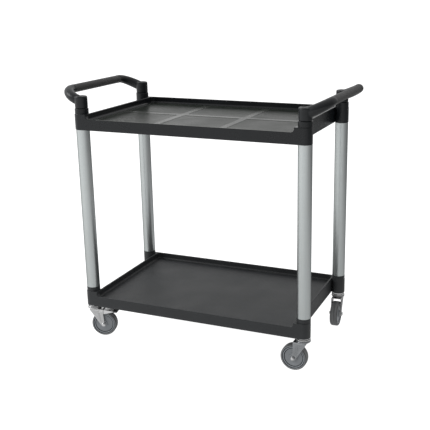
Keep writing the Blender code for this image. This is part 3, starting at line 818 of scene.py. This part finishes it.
def handle_path():
    """Centre line of the right-hand arm, from the front post to the bar, each point with its share."""
    arm = BAR_X - BAR_BEND_R - TUBE_X
    length = arm + BAR_BEND_R * math.pi / 2
    plan = [(TUBE_X + arm * i / 6, -TUBE_Y, arm * i / 6) for i in range(7)]
    for i in range(1, 19):
        t = math.radians(90 * i / 18)
        x = TUBE_X + arm + BAR_BEND_R * math.sin(t)
        y = -TUBE_Y + BAR_BEND_R * (1 - math.cos(t))
        plan.append((x, y, arm + BAR_BEND_R * t))
    return [(x, y, ARM_Z + (BAR_Z - ARM_Z) * rise(run / length), run / length) for x, y, run in plan]


def sweep(path, sizes, segments, name):
    """Oval body along a path, with flat ends; sizes holds its half width and half height."""
    points = [Vector(point) for point in path]
    rings = []
    for i, point in enumerate(points):
        ahead = points[min(i + 1, len(points) - 1)] - points[max(i - 1, 0)]
        ahead.normalize()
        side = ahead.cross(Vector((0, 0, 1))).normalized()
        up = side.cross(ahead)
        ring = []
        for k in range(segments):
            t = 2 * math.pi * k / segments
            ring.append(point + side * sizes[i][0] * math.cos(t) + up * sizes[i][1] * math.sin(t))
        rings.append(ring)
    bm = bmesh.new()
    loft(bm, rings)
    return finish_mesh(bm, name)


def handle_bar():
    """Bar and both arms, with the bar turned down where the grip sits."""
    seat = GRIP_HALF_Y + GAP
    path = []
    sizes = []
    for x, y, z, share in handle_path():
        path.append((x, y, z))
        climb = (z - ARM_Z) / (BAR_Z - ARM_Z)
        half_width = BAR_R + ARM_SWELL * math.sin(math.pi * share)
        sizes.append((half_width, ARM_HALF_HEIGHT + (BAR_R - ARM_HALF_HEIGHT) * climb**2))
    path += [(BAR_X, -seat, BAR_Z), (BAR_X, -seat + 0.0002, BAR_Z)]
    sizes += [(BAR_R, BAR_R), (BAR_CORE_R, BAR_CORE_R)]
    path += [(x, -y, z) for x, y, z in path[::-1]]
    sizes += sizes[::-1]
    return sweep(path, sizes, 40, "bar")


def handle_post():
    """Post with a rounded, dished top, and the peg that fits in the shelf's socket."""
    shoulder = UPPER_BASE_Z + UPPER_COLLAR_Z + GAP
    tip = shoulder - PEG_LENGTH
    peg = SOCKET_R - 2 * GAP
    foot = POST_FOOT_ROUND
    edge = POST_TOP_ROUND
    dish = POST_TOP_Z - POST_DISH_DEPTH
    profile = [(0, tip), (peg - 0.002, tip), (peg, tip + 0.003), (peg, shoulder)]
    profile += arc((POST_R - foot, shoulder + foot), foot, -90, 0, 5)
    profile += arc((POST_R - edge, POST_TOP_Z - edge), edge, 0, 90, 6)
    profile += [(0.0152, POST_TOP_Z), (0.0136, dish), (0, dish)]
    return lathe("post", profile, 56)


def handle_mesh():
    """Right-hand handle: bar, arms and both posts melted into one body."""
    posts = [moved(handle_post(), (TUBE_X, side * TUBE_Y, 0)) for side in (-1, 1)]
    return melted(cut(handle_bar(), "UNION", *posts), MELT_VOXEL, MELT_ROUNDS)


def grip_mesh():
    """Sleeve on the bar, with a raised band at each end."""
    inner = BAR_CORE_R + GAP
    edge = GRIP_HALF_Y
    end = [(inner, edge), (BAR_R - 0.0012, edge), (BAR_R - 0.0004, edge - 0.0004), (BAR_R, edge - 0.0014)]
    end += [(BAR_R, edge - 0.0060), (BAR_R - 0.0004, edge - 0.0066)]
    body = [(BAR_R - 0.0004, y) for y in (0.12, 0.06, 0.0)]
    half = end + body
    profile = half + [(radius, -height) for radius, height in half[-2::-1]]
    return moved(lathe("grip", profile, 56, closed=True, axis="Y"), (BAR_X, 0, BAR_Z))


def add_handles(looks):
    for side, yaw in (("right", 0.0), ("left", math.pi)):
        mesh = handle_mesh()
        piece(f"handle_{side}", mesh, looks["handle"], "frame", (0, 0, 0), yaw, HANDLE_SHARP_ANGLE)
        piece(f"grip_{side}", grip_mesh(), looks["grip"], "frame", (0, 0, 0), yaw)


# Casters: each mesh is drawn with the swivel axis at X = Y = 0 and the wheel behind it, along +X


def stem_mesh():
    """Stem that is also the kingpin, with its riveted head under the crown."""
    head = CROWN_UNDER_Z - GAP
    top = LOWER_BASE_Z + PLUG_TOP - 0.002
    profile = [(0, head - 0.0042), (0.0040, head - 0.0041), (0.0070, head - 0.0034), (0.0086, head - 0.0020)]
    profile += [(0.0092, head - 0.0004), (0.0092, head), (STEM_R, head)]
    profile += [(STEM_R, top - 0.0015), (STEM_R - 0.0015, top), (0, top)]
    return lathe("stem", profile, 40)


def race_mesh():
    """Fixed upper race: a rolled bead under a recessed neck that meets the shelf."""
    top = LOWER_BASE_Z - GAP
    low = CROWN_TOP_Z + GAP
    inner = STEM_R + GAP
    bead = 0.0023
    profile = [(inner, low), (0.0225, low), (0.0236, low + 0.0003)]
    profile += arc((RACE_R - bead, low + 0.0034), bead, -75, 90, 9)
    profile += [(RACE_NECK_R + 0.0005, low + 0.0058), (RACE_NECK_R, low + 0.0061)]
    profile += [(RACE_NECK_R, top), (inner, top)]
    return lathe("race", profile, 72, closed=True)


def crown_mesh():
    """Round top of the fork with the lower race rolled into its edge."""
    inner = STEM_R + GAP
    low = CROWN_UNDER_Z
    top = CROWN_TOP_Z
    bead = 0.0026
    profile = [(inner, low), (0.0235, low + 0.0020), (0.0244, low + 0.0026)]
    profile += arc((CROWN_R - bead, low + 0.0058), bead, -70, 75, 8)
    profile += [(0.0244, low + 0.0086), (0.0234, top), (inner, top)]
    return lathe("crown", profile, 72, closed=True)


def channel_outline():
    """Upside-down U across the wheel, as (y, z) points."""
    outer = FORK_GAP_HALF + FORK_THICKNESS
    top = CROWN_UNDER_Z + 0.0030
    right = [(FORK_GAP_HALF, 0.03), (outer, 0.03)]
    right += arc((outer - 0.004, top - 0.004), 0.004, 0, 90, 6)
    right += [(0.0, top)]
    roof = [(0.0, CROWN_UNDER_Z)] + arc((FORK_GAP_HALF - 0.0018, CROWN_UNDER_Z - 0.0018), 0.0018, 90, 0, 5)
    left = [(-y, z) for y, z in right[-2::-1]]
    left_roof = [(-y, z) for y, z in roof[:0:-1]]
    return right + left + left_roof + roof


def leg_profile(trail):
    """Side view of the fork: upright behind the axle, slanted in front of it."""
    top = CROWN_UNDER_Z + 0.01
    points = [(-0.0165, top), (-0.0165, CROWN_UNDER_Z - 0.0005)]
    points += arc((trail - 0.0010, WHEEL_R), 0.0095, 207, 335, 12)
    points += [(trail + 0.0030, 0.062), (trail + 0.0005, 0.085), (trail, top)]
    return points


def crease(trail, side):
    """Rib pressed out of one leg, from the roof down to the axle, narrowing to both ends."""
    face = side * (FORK_GAP_HALF + FORK_THICKNESS - 0.0006)
    start = Vector((0.50 * trail, face, CREASE_TOP_Z))
    end = Vector((0.66 * trail, face, CREASE_LOW_Z))
    along = (end - start).normalized()
    outward = Vector((0, 1, 0))
    across = outward.cross(along)
    rings = []
    for i in range(21):
        share = i / 20
        swell = math.sin(math.pi * min(max(share, 0.02), 0.98)) ** 0.4
        ring = []
        for k in range(20):
            t = 2 * math.pi * k / 20
            offset = outward * CREASE_RELIEF * math.cos(t) + across * CREASE_HALF_WIDTH * math.sin(t)
            ring.append(start.lerp(end, share) + offset * swell)
        rings.append(ring)
    bm = bmesh.new()
    loft(bm, rings)
    return finish_mesh(bm, "crease")


def cross_hole(name, radius, centre):
    """Cutter for a round hole across the wheel, through both legs."""
    mesh = lathe(name, [(0, -0.04), (radius, -0.04), (radius, 0.04), (0, 0.04)], 32, axis="Y")
    return moved(mesh, centre)


def boss(trail, side):
    """Raised washer seat pressed into one leg round the axle."""
    outer = FORK_GAP_HALF + FORK_THICKNESS
    profile = [(0, outer - 0.0010), (BOSS_R, outer - 0.0010)]
    profile += [(BOSS_R - 0.0006, outer + 0.0002), (0, outer + 0.0002)]
    mesh = lathe("boss", [(r, side * h) for r, h in profile], 40, axis="Y")
    return moved(mesh, (trail, 0, WHEEL_R))


def fork_mesh(trail, pedal_place):
    """Pressed fork: crown, roof and two legs, with the holes for kingpin, axle and pedal pin."""
    bm = bmesh.new()
    loft(bm, [[(x, y, z) for y, z in channel_outline()] for x in (-0.030, 0.060)])
    mesh = cut(finish_mesh(bm, "channel"), "INTERSECT", prism("legs", leg_profile(trail), -0.05, 0.05))
    mesh = bevelled(mesh, 0.0004, 2, 50)
    creases = [crease(trail, side) for side in (1, -1)]
    bosses = [boss(trail, side) for side in (1, -1)]
    mesh = cut(mesh, "UNION", crown_mesh(), *creases, *bosses)
    bore = [(0, 0.09), (STEM_R + GAP, 0.09), (STEM_R + GAP, 0.14), (0, 0.14)]
    holes = [lathe("kingpin_hole", bore, 32), cross_hole("axle_hole", AXLE_R + GAP, (trail, 0, WHEEL_R))]
    if pedal_place:
        holes.append(cross_hole("pin_hole", PEDAL_PIN_R + GAP, (pedal_place[0], 0, pedal_place[1])))
    return cut(mesh, "DIFFERENCE", *holes)


def axle_mesh():
    """Axle bolt with a domed head on the -Y side of the fork."""
    side = FORK_GAP_HALF + FORK_THICKNESS + GAP
    profile = [(0, side + 0.0068), (0.0026, side + 0.0067), (0.0048, side + 0.0062), (0.0062, side + 0.0052)]
    profile += [(0.0069, side + 0.0040), (0.0070, side + 0.0006), (0.0066, side), (AXLE_R, side)]
    profile += [(AXLE_R, -side - 0.0064), (AXLE_R - 0.0006, -side - 0.0070), (0, -side - 0.0070)]
    return lathe("axle", profile, 40, axis="Y")


def nut_mesh():
    """Chamfered hexagon nut on the +Y end of the axle."""
    side = FORK_GAP_HALF + FORK_THICKNESS + GAP
    corners = arc((0, 0), 0.0075, 0, 360, 6)[:-1]
    bm = bmesh.new()
    loft(bm, [[(x, side + height, z) for x, z in corners] for height in (0.0, 0.0062)])
    hexagon = finish_mesh(bm, "hexagon")
    cone = [(0, side - 0.001), (0.0072, side - 0.001), (0.0072, side), (0.0076, side + 0.0006)]
    cone += [(0.0076, side + 0.0050), (0.0066, side + 0.0062), (0.0060, side + 0.0070), (0, side + 0.0070)]
    round_off = lathe("chamfer", [(radius, -height) for radius, height in cone], 48, axis="Y")
    mesh = cut(hexagon, "INTERSECT", round_off)
    return cut(mesh, "DIFFERENCE", cross_hole("thread", AXLE_R + GAP, (0, 0, 0)))


def wheel_mesh():
    """Wheel centre: hub, flat web and rim bead, with a deep groove between web and bead."""
    bore = BUSH_R + GAP
    half = [(bore, 0.0160), (bore + 0.0005, 0.0165), (0.0126, 0.0165), (0.0132, 0.0160), (0.0136, 0.0122)]
    half += [(0.0144, 0.0113), (0.0160, 0.0110), (0.0334, 0.0112), (0.0341, 0.0110), (0.0345, 0.0102)]
    half += [(GROOVE_R - 0.0005, 0.0072), (GROOVE_R, 0.0066), (GROOVE_R + 0.0005, 0.0072)]
    half += [(0.0363, 0.0110), (0.0367, 0.0122), (0.0375, 0.0131), (0.0386, 0.0134), (0.0398, 0.0131)]
    half += [(0.0408, 0.0122), (RIM_SEAT_R, 0.0104)]
    return lathe("wheel", mirrored(half), 96, closed=True, axis="Y")


def tyre_mesh():
    """Tyre with a rounded side wall, a step at the shoulder and a moulding line on the tread."""
    half = [(RIM_SEAT_R + GAP, 0.0106), (0.0420, 0.0126), (0.0427, 0.0142), (0.0438, 0.0151)]
    half += [(0.0450, 0.0154), (0.0462, 0.0152), (0.0470, 0.0147), (0.0474, 0.0138), (0.0482, 0.0136)]
    half += [(0.0490, 0.0128), (0.0495, 0.0108), (0.0498, 0.0080), (0.0499, 0.0045), (0.0499, 0.0009)]
    half += [(WHEEL_R, 0.0003)]
    return lathe("tyre", mirrored(half), 120, closed=True, axis="Y")


def tongue_outline(start, gap):
    """Flat tongue of the lever that the foot pad slips over; gap widens it into the pad's slot."""
    end = TONGUE_END_X + gap
    return [(start, -0.0004 - gap), (end, -0.0006 - gap), (end, 0.0014 + gap), (start, 0.0016 + gap)]


def pedal_mesh():
    """Brake lever: a wedge-shaped channel behind the wheel, on a barrel between the fork legs."""
    top = [(0.001, 0.0034), (0.0100, 0.0068), (0.0540, 0.0012)]
    under = [(0.0540, -0.0024), (0.0165, -0.0118), (0.006, -0.0040)]
    width = PEDAL_HALF_WIDTH
    inner = [(-0.02, -0.02), (0.06, -0.02), (0.06, -0.0016), (0.0108, 0.0046), (-0.02, 0.0010)]
    lever = bevelled(prism("lever", under + top, -width, width), 0.0007, 3, 30)
    mesh = cut(lever, "DIFFERENCE", prism("inner", inner, 0.0020 - width, width - 0.0020))
    tongue = prism("tongue", tongue_outline(0.050, 0.0), -TONGUE_HALF_WIDTH, TONGUE_HALF_WIDTH)
    reach = width + 0.0003
    barrel = [(0, -reach), (PEDAL_BARREL_R, -reach), (PEDAL_BARREL_R, reach), (0, reach)]
    mesh = cut(mesh, "UNION", lathe("barrel", barrel, 32, axis="Y"))
    mesh = cut(mesh, "UNION", tongue)
    return cut(mesh, "DIFFERENCE", cross_hole("pin_bore", PEDAL_PIN_R + GAP, (0, 0, 0)))


def pad_mesh():
    """Black foot pad that caps the end of the lever, with cross ribs on its top."""
    start = PAD_START_X
    top = PAD_TOP_Z
    outline = [(start, -0.0036), (0.068, -0.0038), (0.0715, -0.0020), (0.0715, 0.0036), (0.0690, top)]
    bottom = top - PAD_RIB_DEPTH
    for i in range(4):
        edge = 0.0676 - PAD_RIB_PITCH * i
        outline += [(edge, top), (edge - 0.0006, bottom), (edge - 0.0012, bottom), (edge - 0.0018, top)]
    outline += [(start + 0.0005, 0.0054)]
    mesh = bevelled(prism("pad", outline, -PEDAL_HALF_WIDTH, PEDAL_HALF_WIDTH), 0.0003, 2, 60)
    reach = TONGUE_HALF_WIDTH + GAP
    return cut(mesh, "DIFFERENCE", prism("slot", tongue_outline(start - OVERLAP, GAP), -reach, reach))


def pin_mesh():
    """Pedal pin with a flat head at each end, outside the fork legs."""
    side = FORK_GAP_HALF + FORK_THICKNESS + GAP
    half = [(PEDAL_PIN_R, 0), (PEDAL_PIN_R, side), (0.0038, side), (0.0037, side + 0.0006)]
    half += [(0.0030, side + 0.0013), (0, side + 0.0014)]
    profile = [(radius, -height) for radius, height in half[:0:-1]] + half[1:]
    return lathe("pin", profile, 32, axis="Y")


def joint_place(name):
    """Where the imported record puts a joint."""
    return next(Vector(joint["pos_m"]) for joint in frame["joints"] if joint["name"] == name)


def add_caster(corner, looks):
    """All the pieces of one caster, turned the way its packed joints lie."""
    swivel = f"swivel_{corner}"
    wheel = f"wheel_{corner}"
    lever = f"pedal_{corner}"
    pivot = joint_place(swivel)
    pivot.z = 0.0
    centre = joint_place(f"spin_{corner}")
    reach = (centre - pivot).to_2d()
    yaw = math.atan2(reach.y, reach.x)
    hinge = joint_place(f"brake_{corner}") if corner in BRAKED else None
    pedal = ((hinge - pivot).to_2d().length, hinge.z) if hinge else None
    made = [("stem", stem_mesh(), "frame", pivot), ("race", race_mesh(), "frame", pivot)]
    made += [("fork", fork_mesh(reach.length, pedal), swivel, pivot)]
    made += [("axle", axle_mesh(), swivel, centre), ("nut", nut_mesh(), swivel, centre)]
    made += [("wheel", wheel_mesh(), wheel, centre), ("tyre", tyre_mesh(), wheel, centre)]
    if pedal:
        made += [("pedal_pin", pin_mesh(), swivel, hinge), ("pedal", pedal_mesh(), lever, hinge)]
        made += [("pedal_pad", pad_mesh(), lever, hinge)]
    for key, mesh, body, location in made:
        look = looks[f"fork_{corner}"] if key == "fork" else looks[key]
        piece(f"{key}_{corner}", mesh, look, body, location, yaw)


def finish_kept_nodes(looks):
    """Procedural materials on the CAD nodes that stay in view."""
    for corner in CORNERS:
        for key in ("plug", "bush"):
            node = frame["nodes"][f"{key}_{corner}"]
            for material_slot in node.material_slots:
                material_slot.material = looks[key]


# Studio


def make_world():
    """Studio room that shows white; its light grows to the left, to the back and upwards."""
    world = bpy.data.worlds.new("studio")
    bpy.context.scene.world = world
    world.use_nodes = True
    tree = world.node_tree
    background = tree.nodes["Background"]
    place = tree.nodes.new("ShaderNodeTexCoord").outputs["Generated"]
    slope = tree.nodes.new("ShaderNodeVectorMath")
    slope.operation = "DOT_PRODUCT"
    slope.inputs[1].default_value = ROOM_SLOPE
    tree.links.new(place, slope.inputs[0])
    level = tree.nodes.new("ShaderNodeMapRange")
    level.inputs["From Min"].default_value = -1.0
    level.inputs["From Max"].default_value = 1.0
    level.inputs["To Min"].default_value, level.inputs["To Max"].default_value = ROOM_RANGE
    tree.links.new(slope.outputs["Value"], level.inputs["Value"])
    room = tree.nodes.new("ShaderNodeMix")
    room.data_type = "RGBA"
    room.inputs["B"].default_value = WHITE
    seen = tree.nodes.new("ShaderNodeLightPath")
    tree.links.new(level.outputs["Result"], room.inputs["A"])
    tree.links.new(seen.outputs["Is Camera Ray"], room.inputs["Factor"])
    tree.links.new(room.outputs["Result"], background.inputs["Color"])


def add_key_light():
    """Soft square light, high on the front left."""
    data = bpy.data.lights.new("key_light", "AREA")
    data.shape = "SQUARE"
    data.size = KEY_LIGHT_SIZE
    data.energy = KEY_LIGHT_POWER
    light = add_object("key_light", data, KEY_LIGHT_PLACE)
    towards = Vector(KEY_LIGHT_TARGET) - Vector(KEY_LIGHT_PLACE)
    light.rotation_euler = towards.to_track_quat("-Z", "Y").to_euler()
    light.visible_camera = False


def add_floor():
    """Plain pale floor that shows white and throws back more light in front and on the left."""
    bm = bmesh.new()
    bmesh.ops.create_grid(bm, x_segments=1, y_segments=1, size=FLOOR_SIZE / 2)
    floor = add_object("studio_floor", finish_mesh(bm, "studio_floor"))
    material = bpy.data.materials.new("studio_floor")
    material.use_nodes = True
    tree = material.node_tree
    shader = tree.nodes["Principled BSDF"]
    shader.inputs["Base Color"].default_value = FLOOR_COLOUR
    shader.inputs["Roughness"].default_value = 0.9
    shader.inputs["Specular IOR Level"].default_value = 0.0
    shader.inputs["Emission Color"].default_value = WHITE
    across = tree.nodes.new("ShaderNodeVectorMath")
    across.operation = "DOT_PRODUCT"
    across.inputs[1].default_value = FLOOR_SLOPE
    tree.links.new(tree.nodes.new("ShaderNodeTexCoord").outputs["Object"], across.inputs[0])
    glow = tree.nodes.new("ShaderNodeMapRange")
    glow.inputs["From Min"].default_value = -1.0
    glow.inputs["From Max"].default_value = 1.0
    glow.inputs["To Min"].default_value, glow.inputs["To Max"].default_value = FLOOR_RANGE
    tree.links.new(across.outputs["Value"], glow.inputs["Value"])
    white = tree.nodes.new("ShaderNodeMath")
    white.operation = "MAXIMUM"
    tree.links.new(tree.nodes.new("ShaderNodeLightPath").outputs["Is Camera Ray"], white.inputs[0])
    tree.links.new(glow.outputs["Result"], white.inputs[1])
    tree.links.new(white.outputs["Value"], shader.inputs["Emission Strength"])
    floor.data.materials.append(material)


def add_camera():
    """Camera at its place, turned by azimuth from +Y, pitched down and rolled."""
    azimuth = math.radians(CAMERA_AZIMUTH)
    pitch = math.radians(CAMERA_PITCH)
    roll = math.radians(CAMERA_ROLL)
    level = Vector((math.cos(azimuth), math.sin(azimuth), 0))
    heading = Vector((-math.sin(azimuth), math.cos(azimuth), 0))
    ahead = heading * math.cos(pitch) - Vector((0, 0, math.sin(pitch)))
    upright = level.cross(ahead)
    right = math.cos(roll) * level + math.sin(roll) * upright
    up = math.cos(roll) * upright - math.sin(roll) * level
    data = bpy.data.cameras.new("camera")
    data.sensor_width = 36.0
    data.lens = CAMERA_LENS
    data.shift_x, data.shift_y = CAMERA_SHIFT
    camera = add_object("camera", data)
    turn = Matrix((right, up, -ahead)).transposed().to_4x4()
    camera.matrix_world = Matrix.Translation(CAMERA_PLACE) @ turn
    bpy.context.scene.camera = camera


def main():
    scene = bpy.context.scene
    scene.view_settings.view_transform = "Standard"
    looks = make_materials()
    add_shelves(looks)
    add_tubes(looks)
    add_handles(looks)
    for corner in CORNERS:
        add_caster(corner, looks)
    finish_kept_nodes(looks)
    make_world()
    add_key_light()
    add_floor()
    add_camera()


main()
